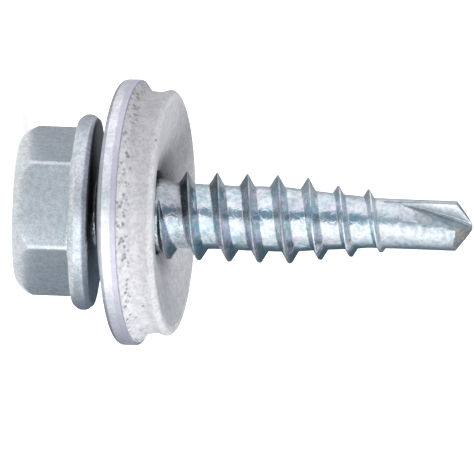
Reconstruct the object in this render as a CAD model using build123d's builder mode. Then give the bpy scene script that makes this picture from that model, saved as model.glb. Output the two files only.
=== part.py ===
from build123d import *
import math
import os

# A thin-sheet self drilling screw, nominal size ST4.8 x 20, with its bonded sealing washer.
# Millimetres. +Z runs along the screw's axis from the head to the drill point, and the origin
# is the centre of the head's top face, on which the screw stands.

# Hexagon head
head_height = 4.1            # head top to the underside of the flange
hex_across_flats = 7.82
hex_turn = -5.1              # one corner's angle from +X, degrees
crown_flat_diameter = 7.26   # flat end face inside the domed chamfer
crown_height = 1.7           # where the domed chamfer runs out at the corners
crown_overhang = 0.05        # the dome ends this far outside the corners
dimple_diameter = 4.6        # forged hollow in the end face
dimple_depth = 0.3
dimple_wall_angle = 45

# Flange forged with the head
flange_diameter = 10.32      # at the middle of its barrel shaped rim
flange_thickness = 1.06
flange_top_diameter = 9.76
flange_under_diameter = 9.78
under_head_cone = 0.1        # small cone where the flange meets the shank

# Shank and thread
screw_length = 19.8          # underside of the flange to the tip of the point
shank_diameter = 3.9         # the plain blank, inside the washer
shank_length = 3.3
shank_run_out = 0.9          # cone from the blank down to the core
core_diameter = 3.4
thread_diameter = 4.65
thread_pitch = 1.6
thread_angle = 60
thread_crest_width = 0.07
thread_root_overlap = 0.18   # how far the ridge is sunk into the core
thread_start = 3.08          # below the flange, where the crest leaves the shank
thread_run_in = 0.7
thread_start_turn = -180     # angle of the thread at its start, degrees from +X
thread_taper_start = 11.1    # the crest starts to sink here
thread_taper_length = 1.4
taper_ridge_height = 0.42
thread_end = 15.9            # the crest meets the drill body
thread_run_out = 1.6
core_taper_start = 10.0
core_taper_length = 4.6
sections_per_turn = 12

# Forged drill point
drill_diameter = 2.63
point_angle = 104
point_flat_diameter = 1.0
flank_slope = 36             # each flank falls away from the chisel edge, degrees
flank_direction = 142        # where the first flank falls to, degrees from +X
flute_length = 3.5
flute_start_turn = 217       # where the flute's floor leaves the surface
web_thickness = 0.3          # left between the two floors at the tip
web_turn = 307
cutting_wall_turn = 210.4
flute_opening = 79
flute_floor_radius = 0.22
flute_overrun = 0.6          # the cut starts this far past the tip
flute_cut_share = 1.6        # length of the cut, in lengths of the flute's floor
flute_wall_reach = 5.2       # how far out the cut's walls run

# Captive bonded sealing washer, lying loose and slightly askew under the flange
washer_tilt = 6.0
washer_lean_turn = 258       # its axis leans this way below the flange, degrees from +X
washer_pivot = 2.1           # below the flange, where the washer's axis passes the screw's
washer_shift = -0.09         # along X, from the screw's axis to the washer's
washer_diameter = 14.0
washer_thickness = 0.9
washer_hole_diameter = 4.6
washer_gap = 0.055           # least gap between the flange and the metal washer
washer_dish_angle = 13.2
washer_edge_break = 0.18     # chamfer round the metal rim, on the head's side
sealing_inset = 0.11         # the rubber's shoulder stands back this far inside the metal's rim
sealing_diameter = washer_diameter - 2 * sealing_inset
sealing_shoulder_height = 0.46
sealing_shoulder_foot = 12.84
sealing_waist_diameter = 12.68
sealing_waist_height = 1.1
sealing_lip_diameter = 13.0
sealing_lip_height = 1.62    # where the lip is widest
sealing_edge_height = 1.84   # height of the rubber's edge, from the metal to the face
sealing_face_diameter = 12.56
sealing_hole_diameter = 4.4
sealing_face_sag = 0.2       # how far the face has dipped half way in
sealing_face_hollow = 0.55   # how far it has dipped at the hole


def eased(share):
    """A smooth step from 0 to 1."""
    share = min(max(share, 0.0), 1.0)
    return share * share * (3 - 2 * share)


def core_radius(below_flange):
    """Radius of the core, with its taper down to the drill body."""
    share = min(max((below_flange - core_taper_start) / core_taper_length, 0.0), 1.0)
    return (core_diameter + (drill_diameter - core_diameter) * share) / 2


def ridge_height(below_flange):
    """Height of the thread above the core, fading in and out at its ends."""
    full = (thread_diameter - core_diameter) / 2
    share = eased((below_flange - thread_taper_start) / thread_taper_length)
    height = full + (taper_ridge_height - full) * share
    fade_in = eased((below_flange - thread_start) / thread_run_in)
    fade_out = eased((thread_end - below_flange) / thread_run_out)
    return height * min(fade_in, fade_out)


def ridge_plane(turns):
    """Radial plane across the ridge, with its X outwards and its Y towards the point."""
    below_flange = thread_start + thread_pitch * turns
    angle = math.radians(thread_start_turn + 360 * turns)
    outward = (math.cos(angle), math.sin(angle), 0)
    return Plane(
        origin=(0, 0, head_height + below_flange),
        x_dir=outward,
        z_dir=(math.sin(angle), -math.cos(angle), 0),
    )


def ridge_outline(turns):
    """Trapezoid of the 60 degree ridge, from inside the core to its narrow crest."""
    below_flange = thread_start + thread_pitch * turns
    root = core_radius(below_flange) - thread_root_overlap
    crest = core_radius(below_flange) + ridge_height(below_flange)
    half_crest = thread_crest_width / 2
    half_root = half_crest + (crest - root) * math.tan(math.radians(thread_angle / 2))
    return [(root, -half_root), (crest, -half_crest), (crest, half_crest), (root, half_root)]


flange_top = head_height - flange_thickness
tip = head_height + screw_length
corner_radius = hex_across_flats / math.sqrt(3)
drill_radius = drill_diameter / 2

# Head: a hexagon whose corners run into a domed chamfer, hollowed in the middle
with BuildPart() as head:
    with BuildSketch():
        RegularPolygon(hex_across_flats / 2, 6, major_radius=False, rotation=hex_turn)
    extrude(amount=flange_top + flange_thickness / 2)
    with BuildSketch(Plane.XZ):
        with BuildLine():
            flat_edge = crown_flat_diameter / 2
            dome_edge = corner_radius + crown_overhang
            Line((0, 0), (flat_edge, 0))
            TangentArc((dome_edge, crown_height), (flat_edge, 0), tangent=(0, -1))
            Polyline((dome_edge, crown_height), (dome_edge, head_height), (0, head_height), (0, 0))
        make_face()
    revolve(axis=Axis.Z, mode=Mode.INTERSECT)
    with BuildSketch(Plane.XZ):
        with BuildLine():
            mouth = dimple_diameter / 2
            floor = mouth - dimple_depth / math.tan(math.radians(dimple_wall_angle))
            Polyline((0, 0), (mouth, 0), (floor, dimple_depth), (0, dimple_depth), close=True)
        make_face()
    revolve(axis=Axis.Z, mode=Mode.SUBTRACT)

# Blank: the barrel edged flange, the shank, the core's taper and the drill body, in one turn
with BuildPart() as blank:
    with BuildSketch(Plane.XZ):
        with BuildLine():
            Line((0, flange_top), (flange_top_diameter / 2, flange_top))
            rim = ThreePointArc(
                (flange_top_diameter / 2, flange_top),
                (flange_diameter / 2, (flange_top + head_height) / 2),
                (flange_under_diameter / 2, head_height),
            )
            shank_end = head_height + shank_length
            core_start = shank_end + shank_run_out
            taper_start = head_height + core_taper_start
            taper_end = taper_start + core_taper_length
            point_reach = (drill_radius - point_flat_diameter / 2) / math.tan(math.radians(point_angle / 2))
            Polyline(
                rim @ 1,
                (shank_diameter / 2 + under_head_cone, head_height),
                (shank_diameter / 2, head_height + under_head_cone),
                (shank_diameter / 2, shank_end),
                (core_diameter / 2, core_start),
                (core_diameter / 2, taper_start),
                (drill_radius, taper_end),
                (drill_radius, tip - point_reach),
                (point_flat_diameter / 2, tip),
                (0, tip),
                (0, flange_top),
            )
        make_face()
    revolve(axis=Axis.Z)

# Thread: one ridge along its helix, lofted a turn at a time, down the taper to the drill body
with BuildPart() as ridge:
    ridge_turns = (thread_end - thread_start) / thread_pitch
    loft_count = math.ceil(ridge_turns)
    for loft_index in range(loft_count):
        for section_index in range(sections_per_turn + 1):
            share = (loft_index + section_index / sections_per_turn) / loft_count
            with BuildSketch(ridge_plane(ridge_turns * share)):
                with BuildLine():
                    Polyline(*ridge_outline(ridge_turns * share), close=True)
                make_face()
        loft(clean=False)

# Flutes: two V grooves with rounded floors that deepen towards the tip
with BuildPart() as flutes:
    floor_start = Vector(drill_radius, 0).rotate(Axis.Z, flute_start_turn)
    floor_end = Vector(web_thickness / 2, 0).rotate(Axis.Z, web_turn)
    floor_run = floor_start - floor_end - Vector(0, 0, flute_length)
    mouth_vertex = floor_end - floor_run * (flute_overrun / flute_length)
    walls = [
        Vector(flute_wall_reach, 0).rotate(Axis.Z, cutting_wall_turn + turn)
        for turn in (0, flute_opening)
    ]
    with BuildSketch(Plane.XY.offset(tip + flute_overrun)) as groove:
        with BuildLine():
            corner = (mouth_vertex.X, mouth_vertex.Y)
            first = (mouth_vertex.X + walls[0].X, mouth_vertex.Y + walls[0].Y)
            second = (mouth_vertex.X + walls[1].X, mouth_vertex.Y + walls[1].Y)
            Polyline(corner, first, second, close=True)
        make_face()
        floor_corner = groove.vertices().sort_by_distance((corner[0], corner[1], 0))[0]
        fillet(floor_corner, radius=flute_floor_radius)
    one_flute = extrude(
        amount=floor_run.length * flute_cut_share, dir=floor_run, mode=Mode.PRIVATE
    )
    with PolarLocations(0, 2):
        add(one_flute)

# Screw: one forging, thread rolled on, point pinched
with BuildPart() as screw:
    add(blank.part)
    add(head.part)
    add(ridge.part, clean=False)
    add(flutes.part, mode=Mode.SUBTRACT)
    for turn in (0, 180):
        fall = math.tan(math.radians(flank_slope))
        direction = math.radians(flank_direction + turn)
        flank = Plane(
            origin=(0, 0, tip), z_dir=(fall * math.cos(direction), fall * math.sin(direction), 1)
        )
        split(bisect_by=flank, keep=Keep.BOTTOM)

# Washer: both rings are turned in the washer's own frame, on its tilted axis
tilt = math.radians(washer_tilt)
lean = math.radians(washer_lean_turn)
washer_plane = Plane(
    origin=(washer_shift, 0, head_height + washer_pivot),
    z_dir=(math.sin(tilt) * math.cos(lean), math.sin(tilt) * math.sin(lean), math.cos(tilt)),
)
dish = math.tan(math.radians(washer_dish_angle))
hole_radius = washer_hole_diameter / 2
# the hole's near edge dips towards the flange by the tilt, and keeps the least gap there
crown = (washer_gap - washer_pivot + hole_radius * math.sin(tilt)) / math.cos(tilt)
washer_radius = washer_diameter / 2
washer_axis = Axis(washer_plane.origin, washer_plane.z_dir)
skin = washer_thickness / math.cos(math.radians(washer_dish_angle))


def dished(radius):
    """Height of the metal washer's upper face at a radius, in the washer's frame."""
    return crown + dish * (radius - hole_radius)


# Metal washer: a dished disc with its upper edge broken
with BuildPart() as metal_washer:
    with BuildSketch(washer_plane * Plane.XZ) as section:
        with BuildLine():
            Polyline(
                (hole_radius, dished(hole_radius)),
                (washer_radius, dished(washer_radius)),
                (washer_radius, dished(washer_radius) + skin),
                (hole_radius, dished(hole_radius) + skin),
                close=True,
            )
        make_face()
        rim_corner = (washer_radius, dished(washer_radius), 0)
        chamfer(section.vertices().sort_by_distance(rim_corner)[0], length=washer_edge_break)
    revolve(axis=washer_axis)

# Sealing ring: rubber bonded under the washer, with a shoulder, a waist and a lip
with BuildPart() as sealing_ring:
    with BuildSketch(washer_plane * Plane.XZ):
        with BuildLine():
            joint_radius = sealing_diameter / 2
            bore_radius = sealing_hole_diameter / 2
            face_radius = sealing_face_diameter / 2
            joint = dished(joint_radius) + skin
            face = joint + sealing_edge_height
            Polyline(
                (bore_radius, dished(bore_radius) + skin),
                (joint_radius, joint),
                (sealing_shoulder_foot / 2, joint + sealing_shoulder_height),
                (sealing_waist_diameter / 2, joint + sealing_waist_height),
                (sealing_lip_diameter / 2, joint + sealing_lip_height),
                (face_radius, face),
                ((face_radius + bore_radius) / 2, face - sealing_face_sag),
                (bore_radius, face - sealing_face_hollow),
                close=True,
            )
        make_face()
    revolve(axis=washer_axis)

screw.part.label = "screw"
metal_washer.part.label = "metal_washer"
sealing_ring.part.label = "sealing_ring"

os.makedirs("parts", exist_ok=True)
export_step(screw.part, "parts/screw.step")
export_step(metal_washer.part, "parts/metal_washer.step")
export_step(sealing_ring.part, "parts/sealing_ring.step")
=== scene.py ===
import math

import bpy
from mathutils import Matrix, Vector
from mathutils.noise import noise as noise_value


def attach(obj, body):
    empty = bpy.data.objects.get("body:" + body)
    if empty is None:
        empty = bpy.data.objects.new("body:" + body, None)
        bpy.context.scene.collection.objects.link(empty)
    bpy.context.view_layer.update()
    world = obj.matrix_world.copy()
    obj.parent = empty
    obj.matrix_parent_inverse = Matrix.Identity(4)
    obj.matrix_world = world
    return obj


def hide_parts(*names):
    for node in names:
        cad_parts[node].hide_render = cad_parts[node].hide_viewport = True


# A self drilling screw with its loose sealing washer, dressed round its solids.
# Sizes are in millimetres and become metres where a piece is drawn. Angles are in degrees.
# The screw stands on its head: +Z runs from the head to the drill point.
MM = 0.001
WELD = 1e-3                   # corners closer than this are one
CHAIN_WELD = 1e-4             # the same, where a closed outline meets its start
CUT_TOLERANCE = 1e-5          # how near a cutting plane leaves a corner unmoved

# Hexagon head and its flange
HEAD_HEIGHT = 4.1
HEX_ACROSS_FLATS = 7.82
HEX_TURN = -5.1               # one corner's angle from +X
HEX_CORNER_BEVEL = 0.12
CROWN_FLAT_RADIUS = 3.72
CROWN_HEIGHT = 1.4
CROWN_OVERHANG = 0.05
CROWN_STOP = 0.5              # the dome's section ends this far from the flange's underside
DIMPLE_RADIUS = 2.3
DIMPLE_DEPTH = 0.3
FLANGE_THICKNESS = 1.06
FLANGE_RADIUS = 5.16
FLANGE_TOP_RADIUS = 4.88
FLANGE_UNDER_RADIUS = 4.89
FLANGE_RIM_INSET = 0.33       # from each face of the flange to where its rim is widest
FLANGE_SEAM_ROUNDING = 0.15
FLANGE_RIM_ROUNDING = 0.35
FLANGE_UNDER_ROUNDING = 0.1
FORGING_VOXEL = 0.06          # the head's mesh, fine enough to soften every edge like a forging
HEAD_EASING = 0.5             # how far each of two passes smooths that mesh
SEAM_MARGIN = 0.02            # the flange's finish starts this far under its seam
HEAD_STEPS = 180              # round the dome and the flange
DOME_STEPS = 16               # along the dome's section
HEAD_SMOOTH_ANGLE = 60

# Shank and thread, measured from the underside of the flange
SHANK_RADIUS = 1.95
SHANK_LENGTH = 3.3
SHANK_RUN_OUT = 0.9
CORE_RADIUS = 1.7
CORE_TAPER_START = 10.0
CORE_TAPER_LENGTH = 4.6
THREAD_RADIUS = 2.325
PITCH = 1.6
THREAD_START = 3.08
THREAD_RUN_IN = 0.7
THREAD_TAPER_START = 11.1
THREAD_TAPER_LENGTH = 1.4
TAPER_RIDGE_HEIGHT = 0.42
THREAD_END = 15.9
THREAD_RUN_OUT = 1.6
CREST_HALF_WIDTH = 0.035
FLANK_ANGLE = 30
ROOT_BLEND = 0.09             # rounding where a flank meets the core
FULL_BLEND_RISE = 0.3         # a lower ridge than this has a smaller rounding
RIPPLE_LENGTH = 0.7           # uneven rolling of the surface between the ridges
RIPPLE_HEIGHT = 0.028
CREST_RIPPLE = 0.3            # share of the ripple that the crest keeps
COIL_START = 2.4              # the coiled strip is trimmed to this length
COIL_END = 16.0
STEPS_PER_TURN = 120
SUNK_IN_FLANGE = 0.5
SMOOTH_ANGLE = 40
SHADED_FLANK = -0.5           # flanks turned further than this to the head are in shade

# Forged drill point
SCREW_LENGTH = 19.8
DRILL_RADIUS = 1.315
POINT_ANGLE = 104
POINT_FLAT_RADIUS = 0.22
FLANK_SLOPE = 36
FLANK_DIRECTION = 142
CUTTING_WALL_TURN = 210.4
LOWER_WALL_TURN = 291
FLARE_TURN = 327
FLUTE_FLOOR_ROUNDING = 0.14   # for a lower wall 1 mm long
FLARE_ROUNDING = 0.3
FLUTE_REACH = 6
FLUTE_PATH = [                # below the tip, the floor's x and y, length of the lower wall
    (-0.6, 0.22, -0.12, 1.15),
    (0.0, 0.0, -0.15, 1.1),
    (0.9, -0.32, -0.2, 1.04),
    (1.7, -0.54, -0.33, 0.86),
    (2.5, -0.78, -0.45, 0.59),
    (3.6, -1.03, -0.7, 0.2),
    (4.2, -1.15, -0.8, 0.13),
    (4.8, -1.28, -0.9, 0.1),
]
FLUTE_STEPS = 4               # between two rows of the path
SHANK_CUT_CLEARANCE = 0.15    # the shank's end is cut wider than the point inside it
CUTTING_EDGE_EASE = 0.04
EASED_ANGLE = 28              # edges sharper than this are eased
POINT_OVERLAP = 1.2           # the drill point starts inside the end of the thread
POINT_INSET = 0.004
GROUND_RISE = 0.6             # faces that look up more than this are the ground flanks
EDGE_BAND = 2.2               # width of the line of painted shade along each cutting wall's outer edge
EDGE_RADIUS = 0.965           # of the drill's radius, from where that line starts
WALL_RADIUS = 0.985           # of the drill's radius, up to where the flutes' walls reach

# Washer: a dished metal disc and the rubber ring bonded to it, on their own tilted axis
WASHER_TILT = 6.0
WASHER_LEAN_TURN = 258
WASHER_PIVOT = 2.1
WASHER_SHIFT = -0.09
WASHER_RADIUS = 7.0
WASHER_HOLE_RADIUS = 2.3
WASHER_THICKNESS = 0.9
WASHER_GAP = 0.055
WASHER_DISH_ANGLE = 13.2
WASHER_CORNERS = (0.1, 0.3, 0.06, 0.03)  # rounding above at the hole and rim, below at both
WASHER_STEPS = 192
SHADED_SIDE = -0.12           # faces turned further than this to the flange are in shade
JOINT_RADIUS = 6.89
SEALING_HOLE_RADIUS = 2.2
RUBBER_PROFILE = [            # radius, height below the joint, rounding
    (6.89, 0, 0.05),
    (6.42, 0.46, 0.4),
    (6.34, 1.1, 0.9),
    (6.5, 1.62, 0.16),
    (6.28, 1.84, 0.2),
    (5.1, 1.74, 3.0),
    (3.5, 1.36, 3.0),
    (2.2, 0.98, 0.15),
]
CREEP = 0.3                   # width of the skin of rubber on the lower edge of the rim

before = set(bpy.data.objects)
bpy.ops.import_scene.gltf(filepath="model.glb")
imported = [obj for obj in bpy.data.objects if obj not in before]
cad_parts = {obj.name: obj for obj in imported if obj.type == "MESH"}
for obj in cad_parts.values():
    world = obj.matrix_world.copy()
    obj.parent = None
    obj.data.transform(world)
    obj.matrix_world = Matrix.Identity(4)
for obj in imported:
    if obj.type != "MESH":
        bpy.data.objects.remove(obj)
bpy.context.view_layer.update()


# ---- Drawing and shaping ----

def rounded(corners, steps=6):
    """The outline through (x, y, rounding) corners, each rounded by an arc."""
    line = []
    for i, (x, y, rounding) in enumerate(corners):
        here = Vector((x, y))
        if not rounding:
            line.append(here)
            continue
        back = Vector(corners[i - 1][:2]) - here
        ahead = Vector(corners[(i + 1) % len(corners)][:2]) - here
        half = back.angle(ahead) / 2
        run = min(rounding / math.tan(half), back.length * 0.49, ahead.length * 0.49)
        middle = (back.normalized() + ahead.normalized()).normalized()
        start, centre = here + back.normalized() * run, here + middle * (run / math.cos(half))
        sweep = (start - centre).angle_signed(here + ahead.normalized() * run - centre)
        for k in range(steps + 1):
            arm = start - centre
            arm.rotate(Matrix.Rotation(-sweep * k / steps, 2))
            line.append(centre + arm)
    return line


def spoke(radius, turn, height=0.0):
    """The point at a radius and an angle in degrees from +X."""
    angle = math.radians(turn)
    return Vector((radius * math.cos(angle), radius * math.sin(angle), height))


def pick(piece):
    """Makes a piece the only selected one."""
    bpy.ops.object.select_all(action="DESELECT")
    bpy.context.view_layer.objects.active = piece
    piece.select_set(True)


def draw(name, points, closed):
    """A new piece in edit mode: one chain of edges through the points."""
    bpy.ops.object.select_all(action="DESELECT")
    bpy.ops.mesh.primitive_plane_add(size=MM, location=points[0])
    piece = bpy.context.object
    piece.name = piece.data.name = name
    bpy.ops.object.transform_apply(location=True, rotation=True, scale=True)
    bpy.ops.object.mode_set(mode="EDIT")
    bpy.ops.mesh.select_mode(type="VERT")
    bpy.ops.mesh.select_all(action="SELECT")
    bpy.ops.mesh.merge(type="CENTER")
    for start, end in zip(points, points[1:] + points[:1] if closed else points[1:]):
        bpy.ops.mesh.extrude_region_move(TRANSFORM_OT_translate={"value": end - start})
    if closed:
        bpy.ops.mesh.select_all(action="SELECT")
        bpy.ops.mesh.remove_doubles(threshold=CHAIN_WELD * MM)
    return piece


def close_up(reach=0.0):
    """Leaves edit mode, with corners within reach joined and every face turned outward."""
    bpy.ops.mesh.select_all(action="SELECT")
    if reach:
        bpy.ops.mesh.remove_doubles(threshold=reach * MM)
    bpy.ops.mesh.normals_make_consistent(inside=False)
    bpy.ops.object.mode_set(mode="OBJECT")


def turned(name, outline, seat, steps):
    """An outline of (radius, height) points turned once round the seat's axis."""
    points = [seat @ Vector((x * MM, 0, y * MM)) for x, y in outline]
    piece = draw(name, points, closed=outline[0][0] > 0)
    bpy.ops.mesh.select_all(action="SELECT")
    bpy.ops.mesh.spin(
        steps=steps, angle=math.tau, center=seat.translation, axis=seat.col[2].to_3d()
    )
    close_up(WELD)
    return piece


def apply(piece, kind, **settings):
    """Adds a modifier with these settings and applies it."""
    pick(piece)
    modifier = piece.modifiers.new(kind.lower(), kind)
    for key, value in settings.items():
        setattr(modifier, key, value)
    bpy.ops.object.modifier_apply(modifier=modifier.name)


def combine(piece, other, operation):
    """Joins, cuts or intersects a piece with another one, which is used up."""
    apply(piece, "BOOLEAN", operation=operation, solver="EXACT", object=other)
    bpy.data.objects.remove(other)


def select_edges(piece, wanted):
    """In edit mode, selects the edges whose two ends satisfy a rule."""
    bpy.ops.mesh.select_mode(type="EDGE")
    bpy.ops.mesh.select_all(action="DESELECT")
    bpy.ops.object.mode_set(mode="OBJECT")
    ends = [vertex.co / MM for vertex in piece.data.vertices]
    for edge in piece.data.edges:
        edge.select = wanted(*(ends[v] for v in edge.vertices))
    bpy.ops.object.mode_set(mode="EDIT")


def place(piece, smooth_angle, body, material, node):
    """Shades a finished piece, gives it its body and finish, and hides the solid it stands in
    for.
    """
    pick(piece)
    bpy.ops.object.shade_smooth_by_angle(angle=math.radians(smooth_angle))
    piece.data.materials.clear()
    piece.data.materials.append(material)
    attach(piece, body)
    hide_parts(node)


def finish_faces(piece, material, wanted):
    """Gives the faces that satisfy a rule another finish."""
    piece.data.materials.append(material)
    for face in piece.data.polygons:
        if wanted(face):
            face.material_index = 1


def finish_point(point):
    """Gives the ground flanks and each wall of the flutes their own finishes:
    painted shade on the lower walls, the flares and a line along each cutting
    wall's outer edge, and a painted highlight on the cutting walls.
    """
    walls = (  # the way each wall faces, how closely its faces have to keep to it, its finish
        (LOWER_WALL_TURN - 90, 0.9, shaded_flute_zinc), (FLARE_TURN - 90, 0.82, flare_zinc),
        (CUTTING_WALL_TURN + 90, 0.85, highlit_cutting_zinc),
    )
    for material in [wall[2] for wall in walls] + [ground_flank]:
        point.data.materials.append(material)
    for face in point.data.polygons:
        out = Vector((face.center.x, face.center.y)) / MM
        past_edge = math.degrees(math.atan2(out.y, out.x)) - CUTTING_WALL_TURN
        past_edge = (past_edge + 90) % 180 - 90  # from the nearer of the two cutting walls
        if face.normal.z > GROUND_RISE:
            face.material_index = len(walls) + 1
        elif out.length > DRILL_RADIUS * EDGE_RADIUS and abs(past_edge) < EDGE_BAND:
            face.material_index = 1
        elif out.length < DRILL_RADIUS * WALL_RADIUS:
            for k, (turn, likeness, _) in enumerate(walls):
                if max(face.normal.dot(spoke(1, turn + half)) for half in (0, 180)) > likeness:
                    face.material_index = k + 1
                    break


upright = Matrix.Identity(4)


# ---- Hexagon head ----

def crown_outline(corner_radius):
    """Section of the domed chamfer, with the hollow in the end face."""
    edge = corner_radius + CROWN_OVERHANG
    drop = edge - CROWN_FLAT_RADIUS
    dome_radius = (drop ** 2 + CROWN_HEIGHT ** 2) / (2 * drop)
    sweep = math.asin(CROWN_HEIGHT / dome_radius)
    dome = [
        (edge - dome_radius * (1 - math.cos(angle)), CROWN_HEIGHT - dome_radius * math.sin(angle))
        for angle in (sweep * k / DOME_STEPS for k in range(DOME_STEPS + 1))
    ]
    hollow = [(DIMPLE_RADIUS, 0), (DIMPLE_RADIUS - DIMPLE_DEPTH, DIMPLE_DEPTH), (0, DIMPLE_DEPTH)]
    end = HEAD_HEIGHT - CROWN_STOP
    return [(0, end), (edge, end)] + dome + hollow


def hexagon_head():
    """A hexagon with rounded corners, cut by the dome, forged in one with its flange."""
    corner_radius = HEX_ACROSS_FLATS / math.sqrt(3)
    length = HEAD_HEIGHT - FLANGE_THICKNESS / 2
    bpy.ops.object.select_all(action="DESELECT")
    bpy.ops.mesh.primitive_cylinder_add(
        vertices=6, radius=corner_radius * MM, depth=2 * length * MM,
        rotation=(0, 0, math.radians(HEX_TURN - 30)),
    )
    head = bpy.context.object
    head.name = head.data.name = "hexagon_head"
    bpy.ops.object.transform_apply(location=True, rotation=True, scale=True)
    bpy.ops.object.mode_set(mode="EDIT")
    select_edges(head, lambda a, b: (a.xy - b.xy).length < 0.1)
    bpy.ops.mesh.bevel(offset=HEX_CORNER_BEVEL * MM, segments=6, affect="EDGES")
    bpy.ops.object.mode_set(mode="OBJECT")
    dome = turned("dome", crown_outline(corner_radius), upright, HEAD_STEPS)
    combine(head, dome, "INTERSECT")
    flange_top = HEAD_HEIGHT - FLANGE_THICKNESS
    flange = turned("flange", rounded([
        (0, flange_top, 0),
        (FLANGE_TOP_RADIUS, flange_top, FLANGE_SEAM_ROUNDING),
        (FLANGE_RADIUS, flange_top + FLANGE_RIM_INSET, FLANGE_RIM_ROUNDING),
        (FLANGE_RADIUS, HEAD_HEIGHT - FLANGE_RIM_INSET, FLANGE_RIM_ROUNDING),
        (FLANGE_UNDER_RADIUS, HEAD_HEIGHT, FLANGE_UNDER_ROUNDING),
        (0, HEAD_HEIGHT, 0),
    ]), upright, HEAD_STEPS)
    combine(head, flange, "UNION")
    apply(head, "REMESH", mode="VOXEL", voxel_size=FORGING_VOXEL * MM)
    apply(head, "SMOOTH", factor=HEAD_EASING, iterations=2)
    return head


# ---- Shank, thread and drill point ----

def eased(share):
    """A smooth step from 0 to 1."""
    share = min(max(share, 0.0), 1.0)
    return share * share * (3 - 2 * share)


def core_radius(below):
    """Radius of the thread's core at a distance below the flange."""
    share = min(max((below - CORE_TAPER_START) / CORE_TAPER_LENGTH, 0.0), 1.0)
    return CORE_RADIUS + (DRILL_RADIUS - CORE_RADIUS) * share


def blank_radius(below):
    """Radius of the plain blank, which is thicker under the washer."""
    share = min(max((below - SHANK_LENGTH) / SHANK_RUN_OUT, 0.0), 1.0)
    return core_radius(below) + (SHANK_RADIUS - CORE_RADIUS) * (1 - share)


def crest_radius(below):
    """Radius of the thread's crest, fading in and out of the blank at its ends."""
    full = THREAD_RADIUS - CORE_RADIUS
    sink = eased((below - THREAD_TAPER_START) / THREAD_TAPER_LENGTH)
    height = full + (TAPER_RIDGE_HEIGHT - full) * sink
    fade_in = eased((below - THREAD_START) / THREAD_RUN_IN)
    fade_out = eased((THREAD_END - below) / THREAD_RUN_OUT)
    return core_radius(below) + height * min(fade_in, fade_out)


flank_run = math.tan(math.radians(FLANK_ANGLE))
full_foot = CREST_HALF_WIDTH + (THREAD_RADIUS - CORE_RADIUS) * flank_run


def thread_strip():
    """Heights across one pitch, from valley to valley, close together on the ridge."""
    levels = [0, CREST_HALF_WIDTH]
    levels += [CREST_HALF_WIDTH + (full_foot - CREST_HALF_WIDTH) * k / 5 for k in (1, 2, 3, 4)]
    levels += [full_foot * share for share in (0.94, 1, 1.08, 1.2, 1.4)]
    levels += [(levels[-1] + PITCH / 2) / 2, PITCH / 2]
    return [-level for level in reversed(levels[1:])] + levels


def pull_thread(shank):
    """Moves each vertex of the coiled strip onto the crest, a flank or the blank."""
    for vertex in shank.data.vertices:
        x, y, z = vertex.co / MM
        below = z - HEAD_HEIGHT
        turn = (math.atan2(y, x) + math.pi) / math.tau
        ridge = THREAD_START + PITCH * (turn + round((below - THREAD_START) / PITCH - turn))
        aside, side = abs(below - ridge), math.copysign(1, below - ridge)
        crest = crest_radius(ridge)
        rise = max(crest - blank_radius(ridge), 0.0)
        foot = CREST_HALF_WIDTH + rise * flank_run
        if aside > full_foot:
            share = (aside - full_foot) / (PITCH / 2 - full_foot)
            aside = foot + share * (PITCH / 2 - foot)
        elif aside > CREST_HALF_WIDTH:
            share = (aside - CREST_HALF_WIDTH) / (full_foot - CREST_HALF_WIDTH)
            aside = CREST_HALF_WIDTH + share * (foot - CREST_HALF_WIDTH)
        below = ridge + side * aside
        blank = blank_radius(below)
        flank = crest - max(aside - CREST_HALF_WIDTH, 0) / flank_run
        blend = ROOT_BLEND * min(rise / FULL_BLEND_RISE, 1.0) + 1e-6
        overlap = max(blend - abs(flank - blank), 0.0)
        radius = max(flank, blank) + overlap * overlap / (4 * blend)
        surface = spoke(radius, math.degrees(math.atan2(y, x)), below)
        ripple = RIPPLE_HEIGHT * noise_value(surface / RIPPLE_LENGTH)
        radius += ripple * (1 if aside > CREST_HALF_WIDTH else CREST_RIPPLE)
        stretch = radius / math.hypot(x, y)
        vertex.co = Vector((x * stretch, y * stretch, HEAD_HEIGHT + below)) * MM


def flute_stations():
    """The rows of the flute's path with smooth steps between them."""
    rows = [Vector(row) for row in FLUTE_PATH]
    stations = []
    for i in range(len(rows) - 1):
        before, after = rows[max(i - 1, 0)], rows[min(i + 2, len(rows) - 1)]
        leave, arrive = (rows[i + 1] - before) / 2, (after - rows[i]) / 2
        for k in range(FLUTE_STEPS):
            t = k / FLUTE_STEPS
            stations.append(
                rows[i] * (2 * t ** 3 - 3 * t ** 2 + 1) + leave * (t ** 3 - 2 * t ** 2 + t)
                + rows[i + 1] * (3 * t ** 2 - 2 * t ** 3) + arrive * (t ** 3 - t ** 2)
            )
    return stations + [rows[-1]]


def flute(turn, clearance=0.0):
    """The tool that presses one flute: a cutting wall, a steep lower wall and a flare."""
    tip = HEAD_HEIGHT + SCREW_LENGTH
    bend = spoke(1, LOWER_WALL_TURN)
    outline = rounded([
        (0, 0, FLUTE_FLOOR_ROUNDING),
        (*(spoke(FLUTE_REACH, CUTTING_WALL_TURN).xy), 0),
        (*(bend + spoke(FLUTE_REACH, FLARE_TURN)).xy, 0),
        (*bend.xy, FLARE_ROUNDING),
    ], steps=8)
    spin = Matrix.Rotation(math.radians(turn), 4, "Z")
    floor, walls = [], []
    for below, x, y, wall in flute_stations():
        floor.append(spin @ Vector((x, y + clearance, tip - below)) * MM)
        walls.append(wall)
    cutter = draw("flute", [
        floor[0] + spin @ Vector((x, y, 0)) * walls[0] * MM for x, y in outline
    ], closed=True)
    bpy.ops.mesh.edge_face_add()
    for i in range(1, len(floor)):
        ahead = floor[i] - floor[i - 1]
        bpy.ops.mesh.extrude_region_move(TRANSFORM_OT_translate={"value": ahead})
        grow = walls[i] / walls[i - 1]
        bpy.ops.transform.resize(value=(grow, grow, 1), center_override=floor[i])
    close_up()
    return cutter


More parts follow.
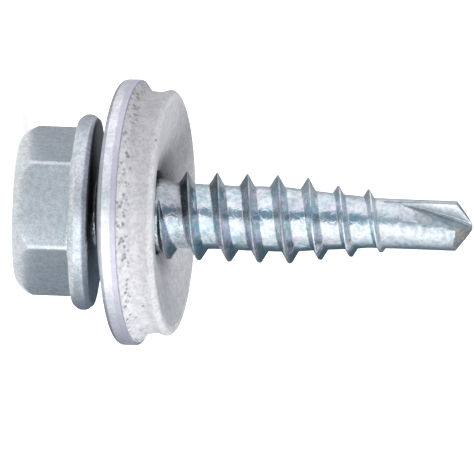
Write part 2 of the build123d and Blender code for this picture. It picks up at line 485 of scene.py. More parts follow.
def weld(piece):
    """Joins the corners that lie within a micron of each other."""
    pick(piece)
    bpy.ops.object.mode_set(mode="EDIT")
    bpy.ops.mesh.select_mode(type="VERT")
    bpy.ops.mesh.select_all(action="SELECT")
    bpy.ops.mesh.remove_doubles(threshold=WELD * MM)
    bpy.ops.mesh.dissolve_degenerate(threshold=WELD * MM)
    bpy.ops.object.mode_set(mode="OBJECT")


def threaded_shank():
    """A strip coiled into the thread, trimmed, and drawn up into the flange."""
    first = THREAD_START + PITCH * (math.floor((COIL_START - THREAD_START) / PITCH) - 0.5)
    shank = draw("threaded_shank", [
        Vector((CORE_RADIUS, 0, HEAD_HEIGHT + first + level)) * MM for level in thread_strip()
    ], closed=False)
    bpy.ops.object.mode_set(mode="OBJECT")
    apply(
        shank, "SCREW", axis="Z", angle=math.tau, screw_offset=PITCH * MM,
        steps=STEPS_PER_TURN, render_steps=STEPS_PER_TURN,
        iterations=math.ceil((COIL_END - first) / PITCH) + 1,
    )
    bpy.ops.object.mode_set(mode="EDIT")
    close_up(2 * WELD)
    pull_thread(shank)
    bpy.ops.object.mode_set(mode="EDIT")
    for height, outward in ((HEAD_HEIGHT + COIL_START, -1), (HEAD_HEIGHT + COIL_END, 1)):
        bpy.ops.mesh.select_all(action="SELECT")
        bpy.ops.mesh.bisect(
            plane_co=(0, 0, height * MM), plane_no=(0, 0, outward), clear_outer=True,
            threshold=CUT_TOLERANCE * MM,
        )
    for height, rise in ((COIL_START, -COIL_START - SUNK_IN_FLANGE), (COIL_END, 0)):
        end = HEAD_HEIGHT + height
        select_edges(shank, lambda a, b: max(abs(a.z - end), abs(b.z - end)) < 1e-3)
        if rise:
            bpy.ops.mesh.extrude_region_move(TRANSFORM_OT_translate={"value": (0, 0, rise * MM)})
        bpy.ops.mesh.edge_face_add()
    close_up()
    for turn in (0, 180):
        combine(shank, flute(turn, SHANK_CUT_CLEARANCE), "DIFFERENCE")
    weld(shank)
    return shank


def drill_point():
    """A bar with a blunt cone, two flutes and two ground flanks, its edges eased."""
    tip = HEAD_HEIGHT + SCREW_LENGTH
    rise = 1 / math.tan(math.radians(POINT_ANGLE / 2))
    root, radius = HEAD_HEIGHT + COIL_END - POINT_OVERLAP, DRILL_RADIUS - POINT_INSET
    apex = tip + POINT_FLAT_RADIUS * rise
    drill = turned("drill_point", [
        (0, root), (radius, root), (radius, apex - radius * rise), (0, apex)
    ], upright, STEPS_PER_TURN)
    for turn in (0, 180):
        combine(drill, flute(turn), "DIFFERENCE")
    pick(drill)
    bpy.ops.object.mode_set(mode="EDIT")
    for turn in (0, 180):
        bpy.ops.mesh.select_all(action="SELECT")
        bpy.ops.mesh.bisect(
            plane_co=(0, 0, tip * MM), clear_outer=True, use_fill=True,
            threshold=CUT_TOLERANCE * MM,
            plane_no=spoke(math.tan(math.radians(FLANK_SLOPE)), FLANK_DIRECTION + turn, 1),
        )
    bpy.ops.object.mode_set(mode="OBJECT")
    apply(
        drill, "BEVEL", width=CUTTING_EDGE_EASE * MM, segments=2,
        limit_method="ANGLE", angle_limit=math.radians(EASED_ANGLE),
    )
    return drill


# ---- Washer ----

tilt = math.radians(WASHER_TILT)
washer_axis = spoke(math.sin(tilt), WASHER_LEAN_TURN, math.cos(tilt))
washer_seat = (
    Matrix.Translation(Vector((WASHER_SHIFT, 0, HEAD_HEIGHT + WASHER_PIVOT)) * MM)
    @ washer_axis.to_track_quat("Z", "X").to_matrix().to_4x4()
)
dish = math.tan(math.radians(WASHER_DISH_ANGLE))
skin = WASHER_THICKNESS / math.cos(math.radians(WASHER_DISH_ANGLE))
crown = (WASHER_GAP - WASHER_PIVOT + WASHER_HOLE_RADIUS * math.sin(tilt)) / math.cos(tilt)


def dished(radius):
    """Height of the metal washer's upper face at a radius, in the washer's frame."""
    return crown + dish * (radius - WASHER_HOLE_RADIUS)


joint_height = dished(JOINT_RADIUS) + skin


def dished_washer():
    """The stamped metal disc."""
    corners = [(radius, dished(radius)) for radius in (WASHER_HOLE_RADIUS, WASHER_RADIUS)]
    corners += [(radius, height + skin) for radius, height in reversed(corners)]
    return turned("dished_washer", rounded([
        (radius, height, rounding) for (radius, height), rounding in zip(corners, WASHER_CORNERS)
    ]), washer_seat, WASHER_STEPS)


def rubber_ring():
    """The moulded ring, with its shoulder, waist, lip and hollow face."""
    profile = [(x, joint_height + y, rounding) for x, y, rounding in RUBBER_PROFILE]
    bonded = (SEALING_HOLE_RADIUS, dished(SEALING_HOLE_RADIUS) + skin, 0)
    return turned("rubber_ring", rounded([bonded] + profile), washer_seat, WASHER_STEPS)


# ---- Finishes ----

COARSE_GRAIN = 0.31           # scale of the coarse grain, as a share of the fine one's
GRAIN_GAIN = 6.0              # for a contrast of 1
GRAIN_SHADES = (0.78, 1.22)
PATCH_EDGE = (0.45, 0.68)     # a tinted patch comes in between these values of its noise
LILAC_SCALE = 0.8             # of the lilac patches, as a share of the blue ones'
LILAC_SHIFT = (0.013, 0.021, 0.007)
STROKE_RADIUS = 1.8           # the strokes are laid out on this radius
STROKE_SHARE = 0.35           # of the strokes in the height of the marks
# noise that makes the edge of the painted shade wander
SHADE_EDGE_SCALE, SHADE_EDGE_WANDER = 1500.0, 1.2
WORN_ROUGHNESS = 0.25
PIT_WANDER = 0.08
CREPT_SCALE, CREPT_WANDER = 2500.0, 0.16
CREPT_EDGE = (-0.02, 0.03)    # across the skin's ragged edge
CREPT_ROUGHNESS = 0.12
RUBBER_OUTSIDE = (6.2, 6.4)   # the ring's hollow face turns into its outside between these radii
RUBBER_TONES = ((0.62, 0.62, 0.655, 1), (0.80, 0.80, 0.83, 1))
RUBBER_ROUGHNESS = (0.22, 0.5)  # of the hollow face and of the outside
HOLE_SHADE = (2.4, 4.2, 0.45)   # radii between which the shade at the hole ends, and its depth
PIT_TONE = (0.16, 0.16, 0.18, 1)
PIT_BAND = (0.0, 0.06, 0.35, 0.8)  # below the joint: where the close pits come in and go out
PIT_CLUSTER = (0.38, 0.58)
PIT_DEPTH = 0.03


def put(tree, kind, inputs=None, **settings):
    """A node with its settings, each input linked to a socket or set to a value."""
    node = tree.nodes.new(kind)
    for key, value in settings.items():
        setattr(node, key, value)
    for key, value in (inputs or {}).items():
        if isinstance(value, bpy.types.NodeSocket):
            tree.links.new(value, node.inputs[key])
        else:
            node.inputs[key].default_value = value
    return node


def maths(tree, operation, *values):
    """A Math node's result."""
    return put(tree, "ShaderNodeMath", dict(enumerate(values)), operation=operation).outputs[0]


def position(tree):
    """The place of each point of the surface."""
    return put(tree, "ShaderNodeTexCoord").outputs["Object"]


def parts(tree, vector):
    """A vector's X, Y and Z."""
    return put(tree, "ShaderNodeSeparateXYZ", {"Vector": vector}).outputs


def mixed(tree, factor, first, second):
    """A colour between two others."""
    node = put(tree, "ShaderNodeMix", {0: factor, 6: first, 7: second}, data_type="RGBA")
    return node.outputs[2]


def stretched(tree, value, low, high, to_low=0.0, to_high=1.0):
    """A value between low and high, mapped smoothly to other limits."""
    node = put(tree, "ShaderNodeMapRange", {
        "Value": value, "From Min": low, "From Max": high, "To Min": to_low, "To Max": to_high,
    }, interpolation_type="SMOOTHSTEP")
    return node.outputs[0]


def noise(tree, where, scale, detail=3.0, rough=0.55, warp=0.0):
    """A noise texture's value."""
    node = put(tree, "ShaderNodeTexNoise", {
        "Vector": where, "Scale": scale, "Detail": detail, "Roughness": rough, "Distortion": warp,
    })
    return node.outputs[0]


def effect(name, inputs, outputs):
    """A shader node group: its tree, its inputs' sockets and its outputs' sockets."""
    tree = bpy.data.node_groups.new(name, "ShaderNodeTree")
    for label, value in inputs.items():
        kind = "NodeSocketColor" if isinstance(value, tuple) else "NodeSocketFloat"
        socket = tree.interface.new_socket(name=label, in_out="INPUT", socket_type=kind)
        socket.default_value = value
    for label, kind in outputs.items():
        tree.interface.new_socket(name=label, in_out="OUTPUT", socket_type="NodeSocket" + kind)
    given, result = tree.nodes.new("NodeGroupInput"), tree.nodes.new("NodeGroupOutput")
    return tree, given.outputs, result.inputs


def place_effect(tree, group, inputs):
    """A group placed in a material with its own values."""
    node = tree.nodes.new("ShaderNodeGroup")
    node.node_tree = group
    for key, value in inputs.items():
        if isinstance(value, bpy.types.NodeSocket):
            tree.links.new(value, node.inputs[key])
        else:
            node.inputs[key].default_value = value
    return node.outputs


def crystal_grain():
    """Fine light and dark speckle of a plated forging, and its height."""
    tree, given, result = effect(
        "crystal_grain", {"Grain": 6000.0, "Contrast": 0.5},
        {"Speckle": "Float", "Height": "Float"},
    )
    where = position(tree)
    fine = noise(tree, where, given["Grain"], 2.0, 0.6)
    larger = maths(tree, "MULTIPLY", given["Grain"], COARSE_GRAIN)
    coarse = noise(tree, where, larger, 3.0, 0.6, 0.4)
    both = maths(tree, "MULTIPLY", maths(tree, "ADD", fine, coarse), 0.5)
    gain = maths(tree, "MULTIPLY", given["Contrast"], GRAIN_GAIN)
    spread = maths(tree, "MULTIPLY", maths(tree, "SUBTRACT", both, 0.5), gain)
    tree.links.new(maths(tree, "ADD", spread, 0.5), result["Speckle"])
    tree.links.new(both, result["Height"])
    return tree


def passivation():
    """Silver zinc that turns blue and lilac in patches."""
    tree, given, result = effect("passivation", {
        "Silver": (0.6, 0.62, 0.64, 1.0), "Blue": (0.4, 0.55, 0.62, 1.0),
        "Lilac": (0.6, 0.58, 0.68, 1.0), "Patch": 700.0, "Strength": 1.0,
    }, {"Color": "Color"})
    where = position(tree)
    shifted = put(tree, "ShaderNodeMapping", {
        "Vector": where, "Location": LILAC_SHIFT,
    }).outputs[0]
    larger = maths(tree, "MULTIPLY", given["Patch"], LILAC_SCALE)
    tinted = given["Silver"]
    for tone, place_in, scale in (("Blue", where, given["Patch"]), ("Lilac", shifted, larger)):
        patches = stretched(tree, noise(tree, place_in, scale, 3.0, 0.6, 0.6), *PATCH_EDGE)
        tinted = mixed(
            tree, maths(tree, "MULTIPLY", patches, given["Strength"]), tinted, given[tone]
        )
    tree.links.new(tinted, result["Color"])
    return tree


def rolled_marks():
    """Uneven dents and short strokes round the screw, as rolling and forging leave them."""
    tree, given, result = effect(
        "rolled_marks", {"Strokes": 2600.0, "Stretch": 0.3, "Dents": 900.0}, {"Height": "Float"}
    )
    where = position(tree)
    across, deep, height = parts(tree, where)
    turn = maths(tree, "ARCTAN2", deep, across)
    stretch = maths(tree, "MULTIPLY", given["Stretch"], STROKE_RADIUS * MM)
    along = maths(tree, "MULTIPLY", turn, stretch)
    strip = put(tree, "ShaderNodeCombineXYZ", {"X": along, "Y": height}).outputs[0]
    strokes = noise(tree, strip, given["Strokes"], 3.0, 0.6, 0.3)
    dents = noise(tree, where, given["Dents"], 2.0, 0.5, 0.8)
    marks = maths(tree, "ADD", maths(tree, "MULTIPLY", strokes, STROKE_SHARE), dents)
    tree.links.new(marks, result["Height"])
    return tree


def painted_shade_band():
    """Painted shade: darker metal over a band of heights, thinned out on one side."""
    tree, given, result = effect("painted_shade_band", {
        "Start": 0.0, "End": 1.0, "Darkness": 1.0,
        "Side Start": 0.0, "Side End": 1.0, "Side Share": 1.0,
    }, {"Shade": "Float"})
    where = position(tree)
    across, _, height = parts(tree, where)
    uneven = maths(tree, "SUBTRACT", noise(tree, where, SHADE_EDGE_SCALE), 0.5)
    across = maths(tree, "ADD", across, maths(tree, "MULTIPLY", uneven, SHADE_EDGE_WANDER * MM))
    side = stretched(
        tree, across, given["Side Start"], given["Side End"], 1.0, given["Side Share"]
    )
    shaded_or_covered = stretched(tree, height, given["Start"], given["End"])
    shaded_or_covered = maths(tree, "MULTIPLY", shaded_or_covered, side)
    tree.links.new(
        stretched(tree, shaded_or_covered, 0.0, 1.0, 1.0, given["Darkness"]), result["Shade"]
    )
    return tree


def worn_crests():
    """Shade and share of the scuffed metal beyond a radius from the screw's axis."""
    tree, given, result = effect(
        "worn_crests", {"Start": 0.0, "End": 1.0, "Darkness": 1.0},
        {"Shade": "Float", "Share": "Float"},
    )
    where = position(tree)
    across, deep, _ = parts(tree, where)
    level = put(tree, "ShaderNodeCombineXYZ", {"X": across, "Y": deep}).outputs[0]
    out = put(tree, "ShaderNodeVectorMath", {0: level}, operation="LENGTH").outputs["Value"]
    rubbed = stretched(tree, out, given["Start"], given["End"])
    tree.links.new(stretched(tree, rubbed, 0.0, 1.0, 1.0, given["Darkness"]), result["Shade"])
    tree.links.new(rubbed, result["Share"])
    return tree


def pits():
    """Small round pits in some of the cells of an even scatter."""
    tree, given, result = effect(
        "pits", {"Density": 3000.0, "Size": 0.25, "Share": 0.5}, {"Mask": "Float"}
    )
    where = position(tree)
    stir = put(tree, "ShaderNodeTexNoise", {"Vector": where, "Scale": given["Density"]})
    stir = put(tree, "ShaderNodeVectorMath", {
        0: stir.outputs["Color"], "Scale": PIT_WANDER * MM,
    }, operation="SCALE").outputs[0]
    stirred = put(tree, "ShaderNodeVectorMath", {0: where, 1: stir}, operation="ADD").outputs[0]
    cells = put(tree, "ShaderNodeTexVoronoi", {"Vector": stirred, "Scale": given["Density"]})
    near = put(tree, "ShaderNodeMapRange", {
        "Value": cells.outputs["Distance"],
        "From Min": maths(tree, "MULTIPLY", given["Size"], 0.5), "From Max": given["Size"],
        "To Min": 1.0, "To Max": 0.0,
    }).outputs[0]
    lot = put(tree, "ShaderNodeSeparateColor", {"Color": cells.outputs["Color"]}).outputs[0]
    chosen = maths(tree, "LESS_THAN", lot, given["Share"])
    tree.links.new(maths(tree, "MULTIPLY", near, chosen), result["Mask"])
    return tree


def below_joint():
    """Distance past the joint of metal and rubber along the washer's axis, and from its seat."""
    tree, given, result = effect(
        "below_joint", {"Offset": 0.0}, {"Distance": "Float", "Reach": "Float"}
    )
    where = position(tree)
    from_seat = put(tree, "ShaderNodeVectorMath", {
        0: where, 1: washer_seat.translation,
    }, operation="SUBTRACT").outputs[0]
    height = put(tree, "ShaderNodeVectorMath", {
        0: from_seat, 1: washer_axis,
    }, operation="DOT_PRODUCT").outputs["Value"]
    reach = put(
        tree, "ShaderNodeVectorMath", {0: from_seat}, operation="LENGTH"
    ).outputs["Value"]
    past = maths(tree, "SUBTRACT", height, joint_height * MM)
    tree.links.new(maths(tree, "ADD", past, given["Offset"]), result["Distance"])
    tree.links.new(reach, result["Reach"])
    return tree


grain_effect, tint_effect, rolled_effect = crystal_grain(), passivation(), rolled_marks()
painted_shade_effect, worn_effect = painted_shade_band(), worn_crests()
pit_effect, joint_effect = pits(), below_joint()


def finish(name, **values):
    """A material's tree and its shader, with the values that are the same all over."""
    material = bpy.data.materials.new(name)
    material.use_nodes = True
    shader = material.node_tree.nodes["Principled BSDF"]
    for key, value in values.items():
        shader.inputs[key.replace("_", " ")].default_value = value
    return material, material.node_tree, shader


def zinc(
    name, tones, patch, tint, grain, speckle, grain_depth, dent_depth, roughness, rough_spread,
    painted_shade=None, side=(0, 1, 1), worn=None, softer=None, crept=None, **rolled
):
    """Zinc plating over a forged or rolled surface.

    painted_shade: heights between which the metal is darkened as painted shade, and how dark
    side: places along X between which that painted shade thins out, and the share left there
    worn: radii between which the metal gets scuffed, and its shade
    softer: heights between which the metal gets duller, by how much, and the tint left
    crept: colour of the skin of rubber on the rim, and its strength
    """
    material, tree, shader = finish(name, Metallic=1.0)
    where = position(tree)
    grains = place_effect(tree, grain_effect, {"Grain": grain, "Contrast": speckle})
    value = stretched(tree, grains["Speckle"], 0.0, 1.0, *GRAIN_SHADES)
    rough = stretched(
        tree, grains["Speckle"], 0.0, 1.0, roughness + rough_spread, roughness - rough_spread
    )
    # painted shade: the metal darkened where it lies in shade
    if painted_shade:
        shade_band = place_effect(tree, painted_shade_effect, {
            "Start": painted_shade[0] * MM, "End": painted_shade[1] * MM, "Darkness": painted_shade[2],
            "Side Start": side[0] * MM, "Side End": side[1] * MM, "Side Share": side[2],
        })
        value = maths(tree, "MULTIPLY", value, shade_band["Shade"])
    if worn:
        rubbed = place_effect(tree, worn_effect, {
            "Start": worn[0] * MM, "End": worn[1] * MM, "Darkness": worn[2],
        })
        value = maths(tree, "MULTIPLY", value, rubbed["Shade"])
        rougher = maths(tree, "MULTIPLY", rubbed["Share"], WORN_ROUGHNESS)
        rough = maths(tree, "ADD", rough, rougher)
    if softer:
        start, end, added, tint_left = softer
        height = parts(tree, where)[2]
        share = stretched(tree, height, start * MM, end * MM)
        rough = maths(tree, "ADD", rough, maths(tree, "MULTIPLY", share, added))
        tint = stretched(tree, share, 0.0, 1.0, tint, tint_left)
    silver, blue, lilac = tones
    colour = place_effect(tree, tint_effect, {
        "Silver": silver, "Blue": blue, "Lilac": lilac, "Patch": patch, "Strength": tint
    })["Color"]
    shade = put(tree, "ShaderNodeHueSaturation", {"Color": colour, "Value": value}).outputs[0]
    if crept:
        past = place_effect(tree, joint_effect, {"Offset": CREEP * MM})["Distance"]
        uneven = maths(tree, "SUBTRACT", noise(tree, where, CREPT_SCALE), 0.5)
        ragged = maths(tree, "ADD", past, maths(tree, "MULTIPLY", uneven, CREPT_WANDER * MM))
        shaded_or_covered = stretched(tree, ragged, *(edge * MM for edge in CREPT_EDGE))
        shade = mixed(tree, maths(tree, "MULTIPLY", shaded_or_covered, crept[3]), shade, crept)
        rougher = maths(tree, "MULTIPLY", shaded_or_covered, CREPT_ROUGHNESS)
        rough = maths(tree, "ADD", rough, rougher)
    tree.links.new(shade, shader.inputs["Base Color"])
    tree.links.new(rough, shader.inputs["Roughness"])
    marks = place_effect(tree, rolled_effect, rolled)
    dents = put(tree, "ShaderNodeBump", {
        "Strength": 1.0, "Distance": dent_depth * MM, "Height": marks["Height"]
    })
    bump = put(tree, "ShaderNodeBump", {
        "Strength": 1.0, "Distance": grain_depth * MM, "Height": grains["Height"],
        "Normal": dents.outputs[0],
    })
    tree.links.new(bump.outputs[0], shader.inputs["Normal"])
    return material


silver_zinc = ((0.66, 0.70, 0.73, 1), (0.50, 0.62, 0.68, 1), (0.68, 0.66, 0.75, 1))
blue_zinc = ((0.66, 0.71, 0.74, 1), (0.40, 0.58, 0.66, 1), (0.69, 0.66, 0.76, 1))
forging = {"patch": 500, "Strokes": 2600, "Stretch": 0.5, "Dents": 1600}
rolling = {
    "patch": 1000, "tint": 0.8, "grain": 5000, "grain_depth": 0.003, "dent_depth": 0.035,
    "rough_spread": 0.05, "Strokes": 3500, "Stretch": 0.35, "Dents": 2300,
}
pressing = {
    "grain": 5000, "grain_depth": 0.003, "rough_spread": 0.05,
    "Strokes": 2500, "Stretch": 0.5, "Dents": 1300,
}
sheet = {
    "tint": 0.5, "grain": 6000, "speckle": 0.3, "roughness": 0.46, "rough_spread": 0.04,
    "Strokes": 2600, "Stretch": 0.5, "Dents": 1200,
}
forged_zinc = zinc(
    "forged_zinc", silver_zinc, tint=0.35, grain=12000, speckle=0.4,
    grain_depth=0.0015, dent_depth=0.003, roughness=0.22, rough_spread=0.03, **forging
)
# the flange's underside gets painted shade for the gap under it, thinning out towards +X
flange_zinc = zinc(
    "flange_zinc", silver_zinc, tint=0.4, grain=11000, speckle=0.5,
    grain_depth=0.002, dent_depth=0.006, roughness=0.38, rough_spread=0.04,
    painted_shade=(3.93, 4.03, 0.12), side=(0.6, 3.2, -0.6), **forging
)
# painted shade on the -X half of the shank next to the washer
rolled_zinc = zinc(
    "rolled_zinc", blue_zinc, speckle=0.5, roughness=0.2, painted_shade=(9.4, 8.8, 0.6),
    side=(-0.5, 0.8, 0.0), softer=(17.0, 19.4, 0.16, 0.35), worn=(2.1, 2.28, 0.72), **rolling
)
# a darker copy of rolled_zinc: painted shade on the flanks that face the head, deeper towards the
# washer on the -X half
shaded_zinc = zinc(
    "shaded_zinc", ((0.60, 0.66, 0.70, 1), (0.36, 0.54, 0.62, 1), (0.62, 0.60, 0.70, 1)),
    speckle=0.6, roughness=0.26, painted_shade=(15.5, 9.5, 0.4), side=(-0.8, 0.5, 0.0),
    worn=(2.1, 2.28, 0.85), **rolling
)
# rougher, with painted shade on the flares that deepens towards the tip
flare_zinc = zinc(
    "flare_zinc", blue_zinc, patch=1000, tint=0.4, speckle=0.5, dent_depth=0.02,
    roughness=0.36, painted_shade=(20.0, 21.6, 0.6), **pressing
)
# near-white tones as a painted highlight on the flutes' cutting walls
highlit_cutting_zinc = zinc(
    "highlit_cutting_zinc", ((0.9, 0.91, 0.92, 1), (0.76, 0.86, 0.88, 1), (0.88, 0.86, 0.92, 1)),
    patch=1000, tint=0.6, speckle=0.4, dent_depth=0.012, roughness=0.5, **pressing
)
# dark tones as painted shade on the flutes' lower walls and the line along the cutting edges
shaded_flute_zinc = zinc(
    "shaded_flute_zinc", ((0.30, 0.36, 0.40, 1), (0.2, 0.29, 0.34, 1), (0.36, 0.38, 0.44, 1)),
    patch=1200, tint=0.8, speckle=0.4, dent_depth=0.02, roughness=0.34, **pressing
)
ground_flank = zinc(
    "ground_flank", ((0.40, 0.40, 0.38, 1), (0.31, 0.36, 0.39, 1), (0.41, 0.38, 0.35, 1)),
    patch=1800, tint=0.9, grain=7000, speckle=0.9, grain_depth=0.004, dent_depth=0.02,
    roughness=0.42, rough_spread=0.06, Strokes=4000, Stretch=0.5, Dents=2500,
)
galvanised = zinc(
    "galvanised_sheet", ((0.86, 0.86, 0.88, 1), (0.76, 0.80, 0.84, 1), (0.78, 0.75, 0.86, 1)),
    patch=900, grain_depth=0.002, dent_depth=0.004, crept=(0.60, 0.58, 0.68, 0.7), **sheet
)
# a darker copy of galvanised_sheet: painted shade on the washer's faces turned to the flange
shaded_sheet = zinc(
    "shaded_sheet", ((0.46, 0.48, 0.52, 1), (0.38, 0.43, 0.48, 1), (0.44, 0.42, 0.5, 1)),
    patch=700, grain_depth=0.003, dent_depth=0.006, **sheet
)


def rubber():
    """Light grey rubber, dull and pitted on the outside and smooth in its hollow face."""
    material, tree, shader = finish("grey_rubber")
    where = position(tree)
    from_joint = place_effect(tree, joint_effect, {"Offset": 0.0})
    past, across = from_joint["Distance"], from_joint["Reach"]
    outside = stretched(tree, across, *(radius * MM for radius in RUBBER_OUTSIDE))
    grains = place_effect(tree, grain_effect, {"Grain": 6500, "Contrast": 1.0})

    # close pits in a band below the joint, and a few larger ones all over the outside
    close = place_effect(tree, pit_effect, {"Density": 3900, "Size": 0.52, "Share": 0.9})
    few = place_effect(tree, pit_effect, {"Density": 1500, "Size": 0.13, "Share": 0.35})
    start, full, thinner, end = (below * MM for below in PIT_BAND)
    band = maths(
        tree, "MULTIPLY", stretched(tree, past, start, full),
        stretched(tree, past, thinner, end, 1.0, 0.0),
    )
    clusters = stretched(tree, noise(tree, where, 2200.0), *PIT_CLUSTER, 0.15, 1.0)
    close = maths(tree, "MULTIPLY", maths(tree, "MULTIPLY", close["Mask"], clusters), band)
    few = maths(tree, "MULTIPLY", few["Mask"], outside)
    holes = maths(tree, "MAXIMUM", close, few)

    base = mixed(tree, grains["Speckle"], *RUBBER_TONES)
    # painted shade: the rubber darker towards the hole
    inner, outer, depth = HOLE_SHADE
    dusk = stretched(tree, across, inner * MM, outer * MM, depth, 1.0)
    lit = put(tree, "ShaderNodeHueSaturation", {"Color": base, "Value": dusk}).outputs[0]
    colour = mixed(tree, maths(tree, "MULTIPLY", holes, 0.75), lit, PIT_TONE)
    tree.links.new(colour, shader.inputs["Base Color"])
    rough = stretched(tree, outside, 0, 1, *RUBBER_ROUGHNESS)
    tree.links.new(rough, shader.inputs["Roughness"])
    grainy = maths(tree, "MULTIPLY", maths(tree, "MULTIPLY", grains["Height"], outside), 0.3)
    bump = put(tree, "ShaderNodeBump", {
        "Strength": 1.0, "Distance": PIT_DEPTH * MM,
        "Height": maths(tree, "SUBTRACT", grainy, holes),
    })
    tree.links.new(bump.outputs[0], shader.inputs["Normal"])
    return material


# ---- The object ----

head = hexagon_head()
place(head, HEAD_SMOOTH_ANGLE, "screw", forged_zinc, "screw")
flange_start = HEAD_HEIGHT - FLANGE_THICKNESS - SEAM_MARGIN
finish_faces(head, flange_zinc, lambda face: face.center.z / MM > flange_start)
shank = threaded_shank()
place(shank, SMOOTH_ANGLE, "screw", rolled_zinc, "screw")
# painted shade on the flanks that face the head
finish_faces(shank, shaded_zinc, lambda face: face.normal.z < SHADED_FLANK)
point = drill_point()
place(point, SMOOTH_ANGLE, "screw", rolled_zinc, "screw")
finish_point(point)
disc = dished_washer()
place(disc, SMOOTH_ANGLE, "washer", galvanised, "metal_washer")
# painted shade on the faces turned to the flange
finish_faces(disc, shaded_sheet, lambda face: face.normal.dot(washer_axis) < SHADED_SIDE)
place(rubber_ring(), SMOOTH_ANGLE, "washer", rubber(), "sealing_ring")


# ---- Studio ----

# In metres here.
FLOOR_SIZE = 6
FLOOR_LIFT = 0.6
SHADOW_FADE = (0.0045, 0.0085)  # the shadow on the floor thins out between these radii
ROOM_LEVEL = 0.5
OBJECT_MIDDLE = Vector((0, 0, 0.012))
CARD_RADIUS = 0.018
CARD_HEIGHT = 0.07
CARD_LIFT = 0.0001
CARD_APRON = 0.0072           # the cards' feet reach in to this radius
CARD_FADE = (0.028, 0.04)     # above this the cards turn to the plain grey of their tops
CARD_TOP = (0.74, 0.76, 0.8, 1)
CARD_STEP = (0.0068, 0.0082)  # the lower cards end and the upper ones start here
LOWER_CARDS = [               # degrees from the camera's side towards +X, and colour
    (0, (0.85, 0.88, 0.92)), (5, (1.4, 1.42, 1.45)), (54, (1.4, 1.42, 1.45)),
    (66, (0.7, 0.75, 0.8)), (92, (0.45, 0.49, 0.53)), (104, (0.3, 0.34, 0.38)),
    (125, (0.16, 0.2, 0.24)), (170, (0.08, 0.12, 0.15)), (200, (0.36, 0.37, 0.4)),
    (250, (0.48, 0.5, 0.54)), (272, (0.95, 0.95, 1.0)), (322, (1.05, 1.05, 1.1)),
    (338, (0.62, 0.66, 0.7)), (353, (0.62, 0.66, 0.7)), (360, (0.85, 0.88, 0.92)),
]
UPPER_CARDS = [
    (0, (0.35, 0.42, 0.48)), (4, (1.5, 1.52, 1.55)), (56, (1.45, 1.45, 1.5)),
    (68, (0.98, 1.03, 1.06)), (98, (0.82, 0.87, 0.92)), (107, (0.3, 0.38, 0.44)),
    (125, (0.12, 0.17, 0.21)), (170, (0.06, 0.1, 0.13)), (192, (0.36, 0.38, 0.42)),
    (228, (0.55, 0.58, 0.62)), (243, (1.0, 1.02, 1.05)), (322, (1.15, 1.15, 1.2)),
    (332, (0.22, 0.34, 0.44)), (352, (0.22, 0.34, 0.44)), (360, (0.35, 0.42, 0.48)),
]


def shows_white(tree, camera):
    """1 for the rays that see the white background, 0 for the rest."""
    rays = put(tree, "ShaderNodeLightPath").outputs
    gloss = maths(tree, "MAXIMUM", rays["Is Glossy Ray"], rays["Is Transmission Ray"])
    return maths(tree, "MAXIMUM", gloss, rays["Is Camera Ray"]) if camera else gloss


def pale_floor():
    """A wide pale floor, which is white in gloss and keeps the object's shadow."""
    bpy.ops.object.select_all(action="DESELECT")
    bpy.ops.mesh.primitive_plane_add(size=FLOOR_SIZE)
    floor = bpy.context.object
    floor.name = "floor"
    material, tree, shader = finish("pale_floor", Roughness=0.9, Specular_IOR_Level=0.0)
    shader.inputs["Base Color"].default_value = (0.9, 0.9, 0.9, 1)
    shader.inputs["Emission Color"].default_value = (1, 1, 1, 1)
    rays = put(tree, "ShaderNodeLightPath").outputs
    where = position(tree)
    away = put(tree, "ShaderNodeVectorMath", {0: where}, operation="LENGTH").outputs["Value"]
    lift = stretched(tree, away, *SHADOW_FADE, FLOOR_LIFT, 1.0)
    seen = maths(tree, "MULTIPLY", rays["Is Camera Ray"], lift)
    tree.links.new(seen, shader.inputs["Emission Strength"])
    white = put(tree, "ShaderNodeEmission", {"Color": (1, 1, 1, 1), "Strength": 1.0})
    surface = put(tree, "ShaderNodeMixShader", {
        0: shows_white(tree, False), 1: shader.outputs[0], 2: white.outputs[0],
    })
    tree.links.new(surface.outputs[0], tree.nodes["Material Output"].inputs["Surface"])
    floor.data.materials.append(material)


def studio_light():
    """White all round, at full strength for the camera and for gloss."""
    world = bpy.data.worlds.new("studio")
    bpy.context.scene.world = world
    world.use_nodes = True
    tree = world.node_tree
    sky = tree.nodes["Background"]
    sky.inputs["Color"].default_value = (1, 1, 1, 1)
    tree.links.new(
        stretched(tree, shows_white(tree, True), 0, 1, ROOM_LEVEL, 1.0), sky.inputs["Strength"]
    )


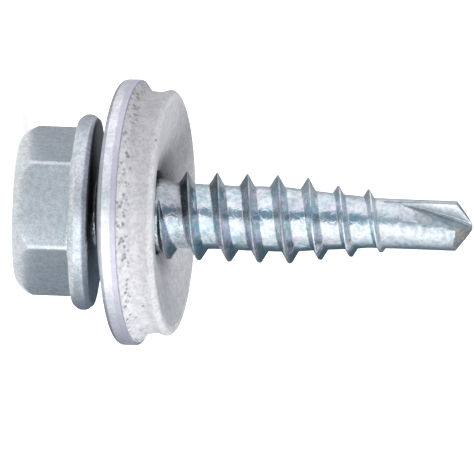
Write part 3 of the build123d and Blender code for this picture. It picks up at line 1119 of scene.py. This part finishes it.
def cards():
    """Pale and dark cards stood round the object, seen only in its gloss."""
    bpy.ops.object.select_all(action="DESELECT")
    bpy.ops.mesh.primitive_cylinder_add(
        vertices=96, radius=CARD_RADIUS, depth=CARD_HEIGHT, end_fill_type="NOTHING",
        location=(0, 0, CARD_HEIGHT / 2),
    )
    ring = bpy.context.object
    ring.name = "studio_cards"
    bpy.ops.object.transform_apply(location=True, rotation=True, scale=True)
    bpy.ops.object.mode_set(mode="EDIT")
    select_edges(ring, lambda a, b: max(a.z, b.z) < 1e-3)
    bpy.ops.mesh.extrude_region_move(TRANSFORM_OT_translate={"value": (0, 0, CARD_LIFT)})
    inward = CARD_APRON / CARD_RADIUS
    bpy.ops.transform.resize(value=(inward, inward, 1), center_override=(0, 0, 0))
    bpy.ops.object.mode_set(mode="OBJECT")
    ring.visible_camera = ring.visible_shadow = ring.visible_diffuse = False
    material, tree, shader = finish("studio_cards")
    where = position(tree)
    from_camera = put(tree, "ShaderNodeMapping", {
        "Vector": where, "Rotation": (0, 0, math.radians(-90)),
    }).outputs[0]
    angle = put(
        tree, "ShaderNodeTexGradient", {"Vector": from_camera}, gradient_type="RADIAL"
    )
    bands = []
    for colours in (LOWER_CARDS, UPPER_CARDS):
        ramp = put(tree, "ShaderNodeValToRGB", {"Fac": angle.outputs["Fac"]})
        stops = ramp.color_ramp.elements
        stops.remove(stops[-1])
        for i, (turn, colour) in enumerate(colours):
            stop = stops[0] if i == 0 else stops.new(turn / 360)
            stop.position, stop.color = turn / 360, (*colour, 1)
        bands.append(ramp.outputs[0])
    height = parts(tree, where)[2]
    colour = mixed(tree, stretched(tree, height, *CARD_STEP), *bands)
    colour = mixed(tree, stretched(tree, height, *CARD_FADE), colour, CARD_TOP)
    glow = put(tree, "ShaderNodeEmission", {"Color": colour})
    tree.links.new(glow.outputs[0], tree.nodes["Material Output"].inputs["Surface"])
    tree.nodes.remove(shader)
    ring.data.materials.append(material)


def softbox(name, turn, distance, height, width, tall, radiance):
    """A soft lamp that faces the object. turn is from the camera's side towards +X."""
    lamp = bpy.data.lights.new(name, "AREA")
    lamp.shape, lamp.size, lamp.size_y = "RECTANGLE", width, tall
    lamp.energy = radiance * math.pi * width * tall
    holder = bpy.data.objects.new(name, lamp)
    bpy.context.scene.collection.objects.link(holder)
    holder.location = spoke(distance, turn - 90, height)
    holder.visible_glossy = False  # the cards alone show in the metal
    away = holder.location - OBJECT_MIDDLE
    holder.rotation_euler = away.to_track_quat("Z", "Y").to_euler()


pale_floor()
studio_light()
cards()
softbox("key_softbox", 50, 0.4, 0.33, 0.3, 0.3, 6.0)

# ---- Camera ----

CAMERA_PLACE = Vector((-0.00723, -0.39903, 0.04119))
CAMERA_LENS = 578.1
CAMERA_YAW, CAMERA_PITCH, CAMERA_ROLL = (math.radians(angle) for angle in (-4.25, 1.18, -2.08))

lying = Matrix(((0, 0, 1), (-1, 0, 0), (0, -1, 0)))  # picture right is +Z, up is -X
axes = (
    Matrix.Rotation(CAMERA_ROLL, 3, "Z") @ Matrix.Rotation(CAMERA_PITCH, 3, "X")
    @ Matrix.Rotation(CAMERA_YAW, 3, "Y") @ lying
)
camera_data = bpy.data.cameras.new("camera")
camera_data.lens = CAMERA_LENS
camera_data.clip_start, camera_data.clip_end = 0.01, 10
camera = bpy.data.objects.new("camera", camera_data)
bpy.context.scene.collection.objects.link(camera)
camera.matrix_world = Matrix.Translation(CAMERA_PLACE) @ axes.transposed().to_4x4()
bpy.context.scene.camera = camera
bpy.context.scene.view_settings.view_transform = "Standard"
